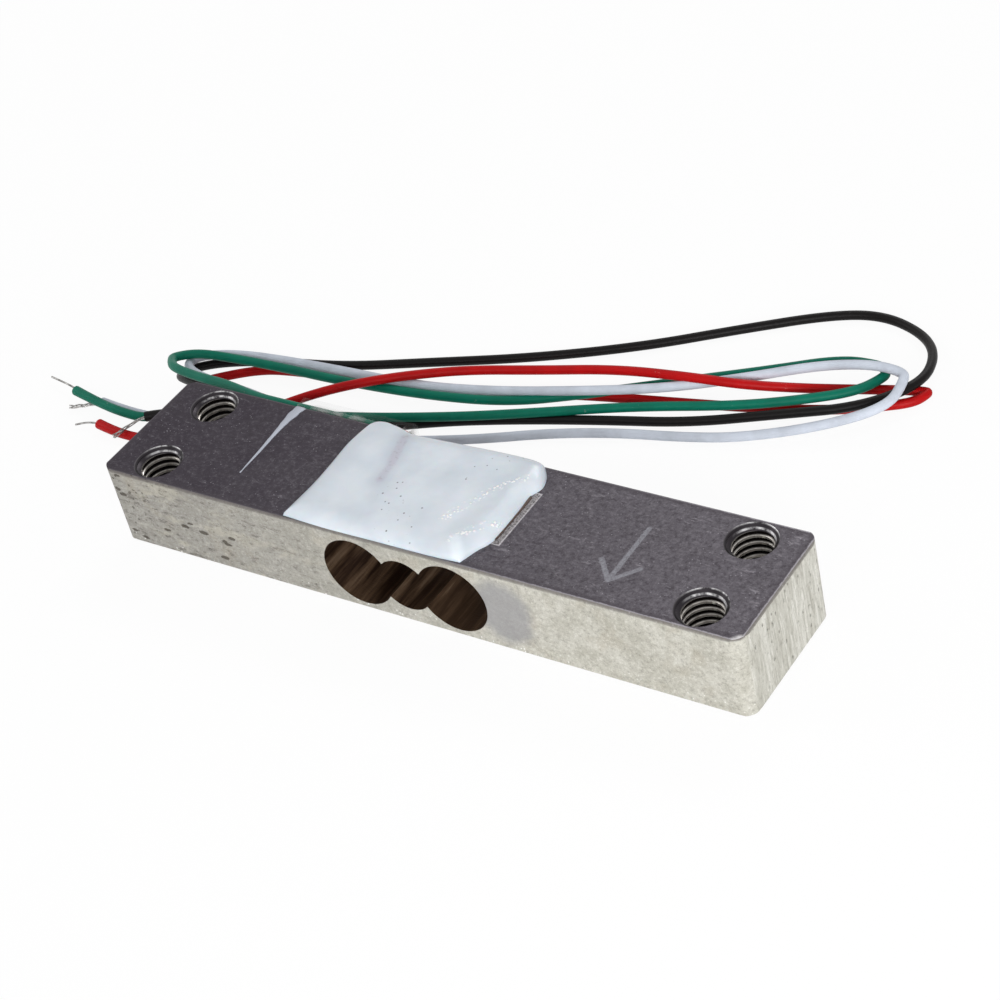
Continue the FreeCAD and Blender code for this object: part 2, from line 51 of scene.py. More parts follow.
# ---------------------------------------------------------------- leads
# Four thin stranded leads in satin PVC, soldered to the gauge. They come free at the end of
# the clear glue, loop once beside the bar and end stripped beyond its fixed end. Each route
# runs from the glue to the cut insulation, and then on to the tip of the bare strands.
ROUTES = {
    "green": (
        [(-0.0145, 0.00527, 0.00535), (-0.0163, 0.00527, 0.00535), (-0.0189, 0.0057, 0.00495),
         (-0.0221, 0.0067, 0.00445), (-0.0255, 0.0074, 0.0038), (-0.0287, 0.0083, 0.0032),
         (-0.0299, 0.0094, 0.0027), (-0.0305, 0.0102, 0.00235), (-0.0294, 0.0115, 0.002),
         (-0.0274, 0.0122, 0.0016), (-0.0231, 0.0128, 0.00125), (-0.0179, 0.013, 0.0011),
         (-0.0112, 0.0137, 0.00095), (-0.0056, 0.0151, 0.0007), (-0.001, 0.0174, 0.00075),
         (0.0046, 0.0206, 0.0008), (0.0097, 0.0235, 0.0008), (0.0138, 0.0259, 0.0009),
         (0.0167, 0.0259, 0.00105), (0.0172, 0.0254, 0.00105), (0.0174, 0.0249, 0.00105),
         (0.0163, 0.0229, 0.00105), (0.0132, 0.0209, 0.0011), (0.0094, 0.0191, 0.00105),
         (0.0031, 0.0174, 0.00075), (-0.0028, 0.0146, 0.0009), (-0.0068, 0.0126, 0.0011),
         (-0.0113, 0.0111, 0.001), (-0.0158, 0.0102, 0.0006), (-0.0202, 0.0095, 0.00035),
         (-0.0238, 0.0084, 0.0009), (-0.0272, 0.0069, 0.0009), (-0.0297, 0.0054, 0.0006),
         (-0.0322, 0.0053, 0.00075), (-0.0347, 0.0057, 0.00075), (-0.0371, 0.0063, 0.00065)],
        [(-0.03728, 0.00652, 0.00058), (-0.03818, 0.0068, 0.00052),
         (-0.03929, 0.00705, 0.00046), (-0.04039, 0.00728, 0.0004)],
    ),
    "black": (
        [(-0.0145, 0.00527, 0.00468), (-0.0163, 0.00527, 0.00468), (-0.0189, 0.0063, 0.00425),
         (-0.0217, 0.0066, 0.0036), (-0.0255, 0.0078, 0.0027), (-0.0291, 0.009, 0.0017),
         (-0.0302, 0.0101, 0.0009), (-0.0303, 0.0116, 0.00045), (-0.0284, 0.013, 0.00035),
         (-0.0249, 0.0142, 0.00033), (-0.0195, 0.0153, 0.00033), (-0.0138, 0.0176, 0.00033),
         (-0.0072, 0.0202, 0.00033), (-0.0003, 0.0237, 0.00033), (0.0053, 0.0275, 0.00033),
         (0.0105, 0.0308, 0.00033), (0.0139, 0.0318, 0.00033), (0.0173, 0.0307, 0.00033),
         (0.0194, 0.0282, 0.0008), (0.02, 0.0248, 0.00115), (0.0173, 0.0214, 0.00115),
         (0.0125, 0.0194, 0.0009), (0.0069, 0.0174, 0.00033), (0.0012, 0.0158, 0.00033),
         (-0.0042, 0.0141, 0.00033), (-0.009, 0.0123, 0.00033), (-0.013, 0.0103, 0.00033),
         (-0.0171, 0.0092, 0.00033), (-0.0202, 0.0086, 0.00037), (-0.0229, 0.0077, 0.00106),
         (-0.0256, 0.0066, 0.00125), (-0.0283, 0.0057, 0.00125), (-0.0294, 0.0051, 0.0011)],
        [(-0.02956, 0.00499, 0.00103), (-0.02992, 0.00457, 0.00098),
         (-0.03022, 0.00378, 0.00092), (-0.03058, 0.00275, 0.0008)],
    ),
    "white": (
        [(-0.0145, 0.00527, 0.00401), (-0.0161, 0.00527, 0.00401), (-0.0184, 0.0068, 0.00355),
         (-0.0211, 0.0077, 0.00315), (-0.0243, 0.0083, 0.00275), (-0.0272, 0.0091, 0.0022),
         (-0.0295, 0.0102, 0.0017), (-0.0301, 0.0116, 0.0013), (-0.0293, 0.0126, 0.0011),
         (-0.0271, 0.0133, 0.0011), (-0.0238, 0.0137, 0.0011), (-0.0195, 0.0142, 0.0009),
         (-0.0126, 0.0145, 0.00085), (-0.0067, 0.0155, 0.00105), (-0.0009, 0.0171, 0.0013),
         (0.0041, 0.0189, 0.00135), (0.0087, 0.0215, 0.00135), (0.0131, 0.0242, 0.0015),
         (0.0166, 0.025, 0.0018), (0.0188, 0.0248, 0.0018), (0.0192, 0.0241, 0.0018),
         (0.0193, 0.0215, 0.0016), (0.0157, 0.0193, 0.0008), (0.0109, 0.017, 0.0004),
         (0.0071, 0.0159, 0.00033), (0.003, 0.015, 0.00033), (-0.0014, 0.0135, 0.00033),
         (-0.0057, 0.0114, 0.00033), (-0.0099, 0.0098, 0.00033), (-0.015, 0.0083, 0.00033),
         (-0.0205, 0.0076, 0.00033), (-0.0262, 0.0074, 0.00033), (-0.0295, 0.0056, 0.00033),
         (-0.0345, 0.0061, 0.00038)],
        [(-0.03478, 0.00594, 0.00034), (-0.03537, 0.00564, 0.00032),
         (-0.036, 0.00524, 0.00031), (-0.0367, 0.00492, 0.00031)],
    ),
    "red": (
        [(-0.0145, 0.00527, 0.00334), (-0.0159, 0.00527, 0.00334), (-0.0181, 0.0072, 0.0029),
         (-0.0212, 0.0084, 0.0024), (-0.0242, 0.0087, 0.00195), (-0.0263, 0.0091, 0.0015),
         (-0.0277, 0.01, 0.0009), (-0.0284, 0.0106, 0.0005), (-0.0255, 0.013, 0.00035),
         (-0.0227, 0.0137, 0.00033), (-0.0175, 0.0143, 0.00033), (-0.0121, 0.0151, 0.00033),
         (-0.0067, 0.0164, 0.00033), (-0.0008, 0.0179, 0.00033), (0.0054, 0.0191, 0.00033),
         (0.0106, 0.0202, 0.00033), (0.015, 0.0214, 0.00033), (0.0178, 0.0227, 0.00033),
         (0.0198, 0.0238, 0.00033), (0.0203, 0.025, 0.00033), (0.0201, 0.0251, 0.00033),
         (0.0186, 0.0248, 0.00033), (0.0156, 0.0239, 0.00033), (0.0123, 0.0226, 0.0006),
         (0.0094, 0.0205, 0.00175), (0.0058, 0.02, 0.0019), (0.0004, 0.0197, 0.0015),
         (-0.0053, 0.0186, 0.0009), (-0.0099, 0.0169, 0.0011), (-0.0132, 0.0147, 0.0015),
         (-0.0158, 0.0125, 0.00185), (-0.0182, 0.0106, 0.0018), (-0.0205, 0.0085, 0.0015),
         (-0.023, 0.0065, 0.001), (-0.0263, 0.0049, 0.0004), (-0.0294, 0.0033, 0.00033),
         (-0.0331, 0.004, 0.00037)],
        [(-0.03337, 0.00403, 0.00036), (-0.03385, 0.00395, 0.00035),
         (-0.03439, 0.0038, 0.0003), (-0.03494, 0.00347, 0.00025)],
    ),
}
WIRE = 0.00065
# the insulation flares at its cut end, and the smooth line is shorter than the straight runs
# between its points
CUT_FLARE, SMOOTHED = 1.12, 0.985


class Number:
    """A value in a node tree. Arithmetic on it adds Math nodes to the same tree."""

    def __init__(self, graph, socket):
        self.graph = graph
        self.socket = socket

    def maths(self, operation, *others):
        inputs = dict(enumerate((self, *others)))
        return self.graph.node("ShaderNodeMath", inputs, operation=operation)

    def __add__(self, other):
        return self.maths("ADD", other)

    def __sub__(self, other):
        return self.maths("SUBTRACT", other)

    def __mul__(self, other):
        return self.maths("MULTIPLY", other)

    def __truediv__(self, other):
        return self.maths("DIVIDE", other)

    def __rsub__(self, other):
        return self.graph.node("ShaderNodeMath", {0: other, 1: self}, operation="SUBTRACT")

    def __rtruediv__(self, other):
        return self.graph.node("ShaderNodeMath", {0: other, 1: self}, operation="DIVIDE")

    def __pow__(self, other):
        return self.maths("POWER", other)

    def __abs__(self):
        return self.maths("ABSOLUTE")

    __radd__ = __add__
    __rmul__ = __mul__


class Graph:
    """A node tree in the making."""

    def __init__(self, tree):
        self.tree = tree

    def node(self, kind, inputs=(), output=0, **settings):
        """Adds one node: its settings first, then its inputs' values or links."""
        made = self.tree.nodes.new(kind)
        for setting, value in settings.items():
            setattr(made, setting, value)
        for socket, value in dict(inputs).items():
            if isinstance(value, Number):
                self.tree.links.new(value.socket, made.inputs[socket])
            elif isinstance(value, tuple) and made.inputs[socket].type == "RGBA":
                made.inputs[socket].default_value = (*value, 1.0)
            else:
                made.inputs[socket].default_value = value
        return Number(self, made.outputs[output])


class Finish(Graph):
    """A procedural surface: a Principled shader with what varies over it made of nodes."""

    def __init__(self, name, **constants):
        self.material = bpy.data.materials.new(name)
        self.material.use_nodes = True
        super().__init__(self.material.node_tree)
        self.shader = self.tree.nodes["Principled BSDF"]
        self.place = self.node("ShaderNodeTexCoord", output="Object")
        for socket, value in constants.items():
            self.set(socket.replace("_", " ").title().replace("Ior", "IOR"), value)

    def set(self, socket, value):
        if isinstance(value, Number):
            self.tree.links.new(value.socket, self.shader.inputs[socket])
        else:
            self.shader.inputs[socket].default_value = value

    def axes(self):
        parts = self.node("ShaderNodeSeparateXYZ", {0: self.place})
        outputs = parts.socket.node.outputs
        return tuple(Number(self, outputs[axis]) for axis in range(3))

    def stretched(self, *scale, turn=(0.0, 0.0, 0.0)):
        """The place on the piece, turned and then stretched differently along each axis."""
        inputs = {"Vector": self.place, "Scale": scale, "Rotation": turn}
        return self.node("ShaderNodeMapping", inputs)

    def clouds(self, size, detail=4.0, roughness=0.5, place=None, distortion=0.0):
        """Noise between 0 and 1 whose blotches are about this size, in metres."""
        inputs = {"Vector": place or self.place, "Scale": 1.0 / size, "Detail": detail,
                  "Roughness": roughness, "Distortion": distortion}
        return self.node("ShaderNodeTexNoise", inputs)

    def cells(self, size, place=None):
        """Distance to the nearest of scattered points, in cells of about this size."""
        inputs = {"Vector": place or self.place, "Scale": 1.0 / size}
        return self.node("ShaderNodeTexVoronoi", inputs, output="Distance")

    def between(self, value, low, high):
        """0 below low, 1 above high and smooth between; high may be the smaller one."""
        inputs = {"Value": value, "From Min": low, "From Max": high}
        return self.node("ShaderNodeMapRange", inputs, interpolation_type="SMOOTHSTEP")

    def mix(self, amount, first, second):
        inputs = {0: amount, 6: first, 7: second}
        return self.node("ShaderNodeMix", inputs, output=2, data_type="RGBA")

    def paint(self, amount, tint):
        """Lays a tint over the colour so far, where and as far as the amount says."""
        self.colour = self.mix(amount, self.colour, tint)

    def bump(self, height, depth, below=None):
        """A bump whose height of 1 stands for a depth in metres, on top of another one."""
        inputs = {"Height": height, "Distance": depth, "Strength": 1.0}
        if below:
            inputs["Normal"] = below
        return self.node("ShaderNodeBump", inputs)

    def done(self, roughness, relief=None):
        """Gives the shader its colour, roughness and bump, and returns the material."""
        self.set("Base Color", self.colour)
        self.set("Roughness", roughness)
        if relief:
            self.set("Normal", relief)
        return self.material


def insulation(name, colour, dust, sheen):
    """Thin PVC: an even colour with handling marks and dust."""
    finish = Finish(name, specular_ior_level=0.16)
    blotches = finish.clouds(0.0025, detail=5.0, roughness=0.6)
    fine = finish.clouds(0.00025, detail=3.0)
    handled = tuple(part * 0.82 for part in colour)
    finish.colour = finish.mix(finish.between(blotches, 0.35, 0.7), colour, handled)
    specks = finish.between(finish.clouds(0.0006, detail=6.0, roughness=0.7), 0.66, 0.72)
    finish.paint(specks * 0.35, dust)
    return finish.done(sheen + 0.16 * blotches + 0.1 * fine,
                       finish.bump(fine + 0.6 * blotches, 0.000012))


INSULATION = {
    "green": insulation("green_pvc", (0.0, 0.160, 0.100), (0.35, 0.45, 0.42), 0.34),
    "black": insulation("black_pvc", (0.003, 0.002, 0.002), (0.16, 0.14, 0.14), 0.30),
    "white": insulation("white_pvc", (0.60, 0.645, 0.73), (0.45, 0.43, 0.45), 0.34),
    "red": insulation("red_pvc", (0.46, 0.002, 0.003), (0.70, 0.35, 0.32), 0.34),
}


def tinned_copper():
    """Bright tinned strands, a little dull and dark where they were handled."""
    finish = Finish("tinned_copper", metallic=1.0)
    dull = finish.between(finish.clouds(0.0004, roughness=0.6), 0.45, 0.65)
    finish.colour = finish.mix(dull, (0.42, 0.41, 0.40), (0.17, 0.16, 0.15))
    return finish.done(0.24 + 0.25 * dull, finish.bump(finish.clouds(0.00008), 0.000006))


STRANDS = tinned_copper()


def smooth_curve(name, points):
    """A NURBS line through the middle of a lead, from the first point to the last."""
    line = bpy.data.curves.new(name, "CURVE")
    line.dimensions = "3D"
    spline = line.splines.new("NURBS")
    spline.points.add(len(points) - 1)
    for control, place in zip(spline.points, points):
        control.co = (*place, 1.0)
    spline.order_u = 3
    spline.use_endpoint_u = True
    spline.resolution_u = 10
    return line


def linked(name, data):
    piece = bpy.data.objects.new(name, data)
    bpy.context.scene.collection.objects.link(piece)
    return piece


def plain_mesh(piece, name):
    """The evaluated piece as a plain mesh with its place in it; the piece itself goes."""
    bpy.context.view_layer.update()
    evaluated = piece.evaluated_get(bpy.context.evaluated_depsgraph_get())
    mesh = bpy.data.meshes.new_from_object(evaluated)
    bpy.data.objects.remove(piece)
    mesh.name = name
    return mesh


class Recipe(Graph):
    """A Geometry Nodes group in the making, with a geometry and some values for inputs."""

    def __init__(self, name, **values):
        super().__init__(bpy.data.node_groups.new(name, "GeometryNodeTree"))
        face = self.tree.interface
        self.names = {}
        for word, kind in {"geometry": "Geometry", **values}.items():
            self.names[word] = face.new_socket(word, in_out="INPUT", socket_type="NodeSocket" + kind)
        face.new_socket("geometry", in_out="OUTPUT", socket_type="NodeSocketGeometry")
        outputs = self.tree.nodes.new("NodeGroupInput").outputs
        self.given = {word: Number(self, outputs[word]) for word in self.names}

    def finish(self, geometry):
        """Ends the group with real geometry that carries the given material."""
        whole = self.node("GeometryNodeRealizeInstances", {"Geometry": geometry})
        dressed = self.node("GeometryNodeSetMaterial",
                            {"Geometry": whole, "Material": self.given["material"]})
        self.tree.links.new(dressed.socket, self.tree.nodes.new("NodeGroupOutput").inputs[0])
        return self

    def made_from(self, piece, name, **values):
        """Runs the group on a piece and links what it makes; the piece itself goes."""
        modifier = piece.modifiers.new(name, "NODES")
        modifier.node_group = self.tree
        for word, value in values.items():
            modifier[self.names[word].identifier] = value
        return linked(name, plain_mesh(piece, name))


def strand_recipe():
    """A bundle of strands twisted round a line, fraying towards its tip."""
    recipe = Recipe("twisted_strands", strands="Int", strand_radius="Float", lay_radius="Float",
                    twist="Float", fray="Float", material="Material")
    given = recipe.given
    line = recipe.node("GeometryNodeResampleCurve", {"Curve": given["geometry"], "Count": 40})
    copies = recipe.node("GeometryNodeDuplicateElements",
                         {"Geometry": line, "Amount": given["strands"]}, domain="SPLINE")
    number = Number(recipe, copies.socket.node.outputs["Duplicate Index"])
    along = recipe.node("GeometryNodeSplineParameter")
    turn = along * given["twist"] + number * (math.tau / given["strands"])
    place = recipe.node("ShaderNodeCombineXYZ", {"X": along * 1.6, "Y": number})
    wander = recipe.node("ShaderNodeTexNoise", {"Vector": place, "Scale": 1.0, "Detail": 1.0})
    reach = given["lay_radius"] + along ** 2.0 * given["fray"] * wander
    normal = recipe.node("GeometryNodeInputNormal")
    side = recipe.node("ShaderNodeVectorMath", {0: recipe.node("GeometryNodeInputTangent"), 1: normal},
                       operation="CROSS_PRODUCT")
    out, across = (recipe.node("ShaderNodeVectorMath", {0: way, "Scale": reach * turn.maths(wave)},
                               operation="SCALE") for way, wave in ((normal, "COSINE"), (side, "SINE")))
    offset = recipe.node("ShaderNodeVectorMath", {0: out, 1: across}, operation="ADD")
    laid = recipe.node("GeometryNodeSetPosition", {"Geometry": copies, "Offset": offset})
    ring = recipe.node("GeometryNodeCurvePrimitiveCircle",
                       {"Resolution": 8, "Radius": given["strand_radius"]})
    wires = recipe.node("GeometryNodeCurveToMesh",
                        {"Curve": laid, "Profile Curve": ring, "Fill Caps": True})
    return recipe.finish(wires)


def tube(name, route, finish):
    """A round lead of full thickness along a route, with closed ends."""
    piece = linked(name, smooth_curve(name, route))
    piece.data.bevel_depth = WIRE / 2
    piece.data.bevel_resolution = 6
    piece.data.use_fill_caps = True
    piece.data.materials.append(finish)
    return piece


TWISTED = strand_recipe()
# each lead's strands, their radius, how far apart they lie, how often they turn and how far
# they fray; the green and red leads have theirs drawn together into one
FRAY = {
    "green": (1, 0.00007, 0.0, 0.0, 0.0), "black": (3, 0.000045, 0.00007, 0.8, 0.00012),
    "white": (3, 0.00005, 0.00008, 1.2, 0.00006), "red": (1, 0.00007, 0.0, 0.0, 0.0),
}

# where along the bar each lead crosses the back edge, and how far back its solder joint lies
ROOTS = {"green": (-0.00781, -0.0015), "black": (-0.00714, -0.0005),
         "white": (-0.00647, 0.0005), "red": (-0.0058, 0.0015)}
# the joints' line, and a root's share of full thickness at each of its points: bare on top
JOINT_X, JOINT_Z = -0.00505, 0.0063
ROOT_SHARES = (0.37, 0.37, 0.37, 0.4, 1, 1, 1)

for colour, (route, bare) in ROUTES.items():
    name = colour + "_bare_strands"
    count, thick, lay, turns, fray = FRAY[colour]
    bare_line = linked(name, smooth_curve(name, [route[-1], *bare]))
    bare_end = TWISTED.made_from(bare_line, name, strands=count, strand_radius=thick, lay_radius=lay,
                                 twist=math.tau * turns, fray=fray, material=STRANDS)
    for face in bare_end.data.polygons:
        face.use_smooth = True
    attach(bare_end, "root")
    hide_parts(colour + "_wire_end")

    lead = tube(colour + "_lead", route, INSULATION[colour])
    lead.data.splines[0].points[-1].radius = CUT_FLARE
    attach(lead, "root")
    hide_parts(colour + "_wire")

    # its root runs bare and flat from its solder joint to the back edge, and insulated from there
    over_x, joint_y = ROOTS[colour]
    _, back_y, level = route[0]
    inner = [(JOINT_X, joint_y, JOINT_Z), (over_x, joint_y, 0.00608), (over_x, 0.0046, 0.00607),
             (over_x, 0.0050, 0.0058), (over_x, back_y, min(0.0053, level + 0.0008)),
             (over_x, back_y, level), route[0]]
    root = tube(colour + "_root", inner, INSULATION[colour])
    for point, share in zip(root.data.splines[0].points, ROOT_SHARES):
        point.radius = share
    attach(root, "root")
    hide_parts(colour + "_wire_root")

# ---------------------------------------------------------------- bar
# Milled from aluminium alloy bar: ground and etched dark on top, left coarse and pitted on
# its long sides, sawn at its ends, with bored walls inside the cut-out. Four M3 threads are
# tapped right through it.
LENGTH, WIDTH, HEIGHT = 0.047, 0.0098, 0.0059
HOLE_X, HOLE_Y = 0.020, 0.003
TAP_RADIUS, RIM_RADIUS = 0.00125, 0.00164
THREAD_PITCH, THREAD_RADIUS = 0.0005, 0.0015
BORE_X, BORE_RADIUS = 0.0035, 0.0025
CORNER_RADIUS, CORNER_STEP_DEG = 0.0011, 7.5


def thread_recipe():
    """A helical ridge of a thread's section, set on each point it is given."""
    recipe = Recipe("thread_cutter", pitch="Float", radius="Float", depth="Float", height="Float",
                    material="Material")
    given = recipe.given
    pitch, depth = given["pitch"], given["depth"]
    root = given["radius"] - depth
    helix = recipe.node("GeometryNodeCurveSpiral", {
        "Resolution": 36, "Rotations": given["height"] / pitch, "Start Radius": root,
        "End Radius": root, "Height": given["height"]})
    upright = recipe.node("GeometryNodeSetCurveNormal", {"Curve": helix}, mode="Z_UP")
    # the section is a flat-topped ridge whose -X side points away from the axis
    corners = {}
    for number, (x, y) in enumerate(((0.35, 0.44), (-1.0, 0.08), (-1.0, -0.08), (0.35, -0.44)), 1):
        corners[f"Point {number}"] = recipe.node("ShaderNodeCombineXYZ",
                                                 {"X": depth * x, "Y": pitch * y})
    section = recipe.node("GeometryNodeCurvePrimitiveQuadrilateral", corners, mode="POINTS")
    ridge = recipe.node("GeometryNodeCurveToMesh",
                        {"Curve": upright, "Profile Curve": section, "Fill Caps": True})
    return recipe.finish(recipe.node("GeometryNodeInstanceOnPoints",
                                     {"Points": given["geometry"], "Instance": ridge}))


def span(across, ahead):
    return (across * across + ahead * ahead) ** 0.5


def stroke(x, y, start, end):
    """Distance on the top face from a straight stroke between two places."""
    run = Vector(end) - Vector(start)
    share = ((x - start[0]) * run.x + (y - start[1]) * run.y) / run.length_squared
    share = share.maths("MAXIMUM", 0.0).maths("MINIMUM", 1.0)
    return span(x - start[0] - share * run.x, y - start[1] - share * run.y)


def top_finish():
    """Ground, then etched dark, with bright specks, clouds and fine scratches."""
    finish = Finish("etched_top", metallic=0.5, specular_ior_level=0.4)
    x, y, _ = finish.axes()
    clouds = finish.clouds(0.0030, detail=6.0, roughness=0.62)
    mottle = finish.clouds(0.00030, detail=6.0, roughness=0.82)
    fine = finish.clouds(0.00013, detail=3.0, roughness=0.7)
    grain = finish.clouds(0.00030, detail=5.0, roughness=0.72,
                          place=finish.stretched(0.22, 1.0, 1.0, turn=(0, 0, 1.15)))
    # painted reflection: the top is painted lighter towards the loaded end and darker towards the fixed
    # end
    away_from_reflection = finish.between(x + 0.010 * (clouds - 0.5), 0.019, -0.021)
    finish.colour = finish.mix(away_from_reflection, (0.106, 0.095, 0.111), (0.028, 0.020, 0.031))
    finish.paint(finish.between(clouds, 0.38, 0.62) * 0.35 * (1 - 0.6 * away_from_reflection), (0.070, 0.062, 0.072))
    finish.paint(finish.between(mottle, 0.51, 0.62) * 0.50 * (1 - 0.55 * away_from_reflection), (0.20, 0.185, 0.205))
    finish.paint(finish.between(mottle, 0.49, 0.38) * 0.62, (0.022, 0.016, 0.022))
    rare = finish.between(finish.clouds(0.0011, detail=3.0, roughness=0.7), 0.50, 0.60)
    scratched = finish.between(grain, 0.57, 0.66) * (0.14 + 0.30 * rare) * (1 - 0.6 * away_from_reflection)
    finish.paint(scratched, (0.36, 0.34, 0.37))
    specks = finish.between(finish.cells(0.00026), 0.20, 0.08)
    finish.paint(specks * (0.15 + 0.4 * rare), (0.42, 0.40, 0.44))

    # the etched outline that locates the gauge, and the load arrow by the loaded end
    film_x, film_y = 0.00603, 0.0025
    beyond = (abs(x) - film_x).maths("MAXIMUM", abs(y) - film_y)
    band = finish.between(beyond, 0.00002, -0.00002)
    edge = finish.between(abs(beyond + 0.00004), 0.00007, 0.00003)
    burn = finish.between(fine, 0.35, 0.65)
    finish.paint(band * (0.25 + 0.7 * burn), (0.36, 0.34, 0.34))
    finish.paint(band * finish.between(fine, 0.48, 0.34) * 0.8, (0.045, 0.038, 0.04))
    finish.paint(edge * (0.4 + 0.6 * burn), (0.52, 0.50, 0.52))
    tail, tip = (0.0138, 0.0019), (0.0138, -0.0029)
    arrow = stroke(x, y, tail, tip)
    for barb_x in (0.0125, 0.0151):
        arrow = arrow.maths("MINIMUM", stroke(x, y, (barb_x, -0.0014), tip))
    mark = finish.between(arrow + 0.00008 * (burn - 0.5), 0.00019, 0.00014)
    finish.paint(mark * (0.45 + 0.45 * burn), (0.29, 0.29, 0.32))

    # a painted highlight along the edges, brightest towards the front and the loaded end, with a dark
    # line just inside them
    side = (LENGTH / 2 - abs(x)).maths("MINIMUM", WIDTH / 2 - abs(y))
    ragged = side + 0.00030 * (mottle - 0.5)
    finish.paint(finish.between(ragged, 0.0007, 0.00025) * 0.5, (0.045, 0.036, 0.045))
    edge_highlight = 0.12 + 0.7 * finish.between(x - y, -0.004, 0.022)
    finish.paint(finish.between(ragged, 0.00024, 0.00015) * edge_highlight, (0.40, 0.38, 0.41))
    chip = span(x - LENGTH / 2, y + WIDTH / 2) + 0.0004 * (mottle - 0.5)
    finish.paint(finish.between(chip, 0.00085, 0.0005), (0.62, 0.60, 0.61))
    return finish.done(0.42 + 0.25 * mottle - 0.10 * specks * rare + 0.12 * mark,
                       finish.bump(0.5 * mottle + 0.3 * grain + 0.2 * fine, 0.00005))


def side_finish():
    """Coarse milled metal: sparkling crystals, dark pits, and yellowish stains."""
    finish = Finish("coarse_sides", metallic=0.25, specular_ior_level=0.4)
    x, _, z = finish.axes()
    crystals = finish.clouds(0.00024, detail=6.0, roughness=0.85)
    patches = finish.clouds(0.0014, detail=6.0, roughness=0.70)
    stains = finish.clouds(0.0030, detail=5.0, roughness=0.6, distortion=0.6)
    near_fixed = finish.between(x + 0.006 * (stains - 0.5), 0.010, -0.020)
    finish.colour = finish.mix(finish.between(patches, 0.32, 0.66),
                               (0.47, 0.455, 0.39), (0.60, 0.585, 0.52))
    finish.paint(near_fixed * 0.70, (0.255, 0.242, 0.225))
    finish.paint(finish.between(stains, 0.52, 0.68) * 0.35, (0.42, 0.37, 0.28))
    finish.paint(finish.between(crystals, 0.52, 0.62) * (0.5 - 0.25 * near_fixed), (0.80, 0.79, 0.74))
    tears = finish.clouds(0.00055, detail=7.0, roughness=0.82, place=finish.stretched(0.40, 1.0, 1.0))
    smears = finish.clouds(0.0022, detail=5.0, roughness=0.65, place=finish.stretched(0.5, 1.0, 1.0))
    finish.paint(finish.between(smears, 0.54, 0.62) * 0.5 * near_fixed, (0.54, 0.51, 0.42))
    finish.paint(finish.between(tears, 0.54, 0.62) * 0.50 * near_fixed, (0.56, 0.54, 0.48))
    finish.paint(finish.between(tears, 0.46, 0.39) * (0.1 + 0.65 * near_fixed), (0.115, 0.102, 0.088))
    finish.paint(finish.between(crystals, 0.48, 0.38) * 0.50, (0.21, 0.195, 0.165))
    # painted shadow: a dark line along the top of the side, just under the top edge
    ridge = finish.between(z + 0.00012 * (patches - 0.5), HEIGHT - 0.00022, HEIGHT - 0.00004)
    finish.paint(ridge * 0.75, (0.10, 0.085, 0.085))
    foot = finish.between(z + 0.0012 * (patches - 0.5), 0.0016, 0.0002)
    glints = finish.between(finish.cells(0.00030), 0.26, 0.12) * finish.between(patches, 0.46, 0.56)
    finish.paint(glints * (0.12 + 0.85 * foot), (0.97, 0.97, 0.95))

    # pits, larger and closer together near the fixed end
    scatter = finish.clouds(0.0036, detail=2.0)
    crowd = near_fixed * finish.between(scatter, 0.40, 0.62)
    ragged = 0.34 * (finish.clouds(0.0003, detail=5.0, roughness=0.75) - 0.5)
    oval = finish.cells(0.00095, place=finish.stretched(0.55, 1.0, 1.25)) + ragged
    pit = finish.between(oval - 0.21 * crowd, 0.03, 0.0)
    corner = finish.between(x + 0.004 * (HEIGHT - z) / HEIGHT, -0.0160, -0.0210)
    small = finish.between(finish.cells(0.00050) + ragged, 0.22, 0.17) * (0.25 * crowd + 0.75 * corner)
    pits = pit.maths("MAXIMUM", small)
    finish.paint(pits * 0.80, (0.070, 0.056, 0.042))

    # a greyer rubbed patch beside the loaded bore
    rub = span((x - 0.0072) / 0.0022, (z - 0.0030) / 0.0026) + 0.7 * (patches - 0.5)
    rub = finish.between(rub, 1.15, 0.65)
    finish.paint(rub * 0.72, (0.30, 0.297, 0.315))
    shallow = finish.bump(crystals + 0.5 * patches, 0.00007)
    return finish.done(0.38 + 0.3 * crystals + 0.2 * pits,
                       finish.bump(1 - pits, 0.00012, below=shallow))


def end_finish():
    """Sawn metal: fine slanted tooth marks with rows of dark pores between them."""
    finish = Finish("sawn_ends", metallic=0.2, specular_ior_level=0.4)
    slant = finish.stretched(1.0, 1.0, 0.11, turn=(0.20, 0, 0))
    teeth = finish.clouds(0.00020, detail=6.0, roughness=0.78, place=slant, distortion=0.5)
    broad = finish.clouds(0.0016, detail=5.0, roughness=0.6, place=slant)
    crystals = finish.clouds(0.00022, detail=5.0, roughness=0.8)
    finish.colour = finish.mix(finish.between(broad, 0.3, 0.7), (0.50, 0.49, 0.43), (0.63, 0.62, 0.56))
    finish.paint(finish.between(teeth, 0.51, 0.62) * 0.55, (0.84, 0.83, 0.78))
    finish.paint(finish.between(teeth, 0.49, 0.39) * 0.50, (0.32, 0.30, 0.25))
    finish.paint(finish.between(crystals, 0.46, 0.36) * 0.45, (0.27, 0.25, 0.21))
    pores = finish.between(finish.cells(0.00042, place=finish.stretched(1, 1, 0.55, turn=(0.2, 0, 0))),
                           0.24, 0.14) * finish.between(crystals, 0.46, 0.58)
    finish.paint(pores * 0.65, (0.16, 0.14, 0.11))
    shallow = finish.bump(teeth + 0.4 * crystals, 0.00007)
    return finish.done(0.42 + 0.25 * crystals,
                       finish.bump(1 - pores, 0.00006, below=shallow))


